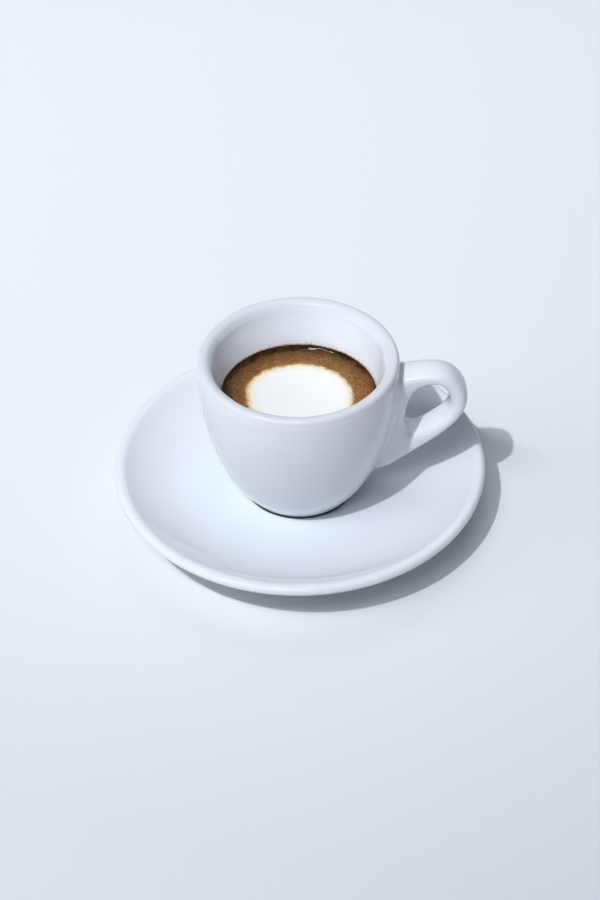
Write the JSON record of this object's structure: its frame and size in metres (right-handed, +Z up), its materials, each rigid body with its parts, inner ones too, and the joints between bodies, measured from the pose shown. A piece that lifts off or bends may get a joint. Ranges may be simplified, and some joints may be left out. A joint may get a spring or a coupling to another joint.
{
  "type": "espresso with milk foam in a cup and saucer",
  "caption": "Thick porcelain espresso cup on a dished saucer, part filled with espresso, crema and a round spot of milk foam.",
  "frame": {"origin": "centre of the saucer on the surface that its foot ring stands on", "axes": "+Z up along the axis of the cup and saucer; +X towards the cup's handle; the picture looks down from the -Y side"},
  "size_m": [0.12, 0.12, 0.0601],
  "materials": {
    "porcelain": "smooth white glaze, glossy",
    "saucer_porcelain": "smooth white glaze, glossy",
    "espresso": "dark brown liquid with a glossy surface",
    "crema": "brown fine-bubbled crema, satin",
    "milk_foam": "white milk foam, soft matt"
  },
  "bodies": {
    "root": {"saucer": "saucer_porcelain", "cup": "porcelain", "espresso": "espresso", "crema": "crema", "milk_foam": "milk_foam"}
  },
  "joints": []
}
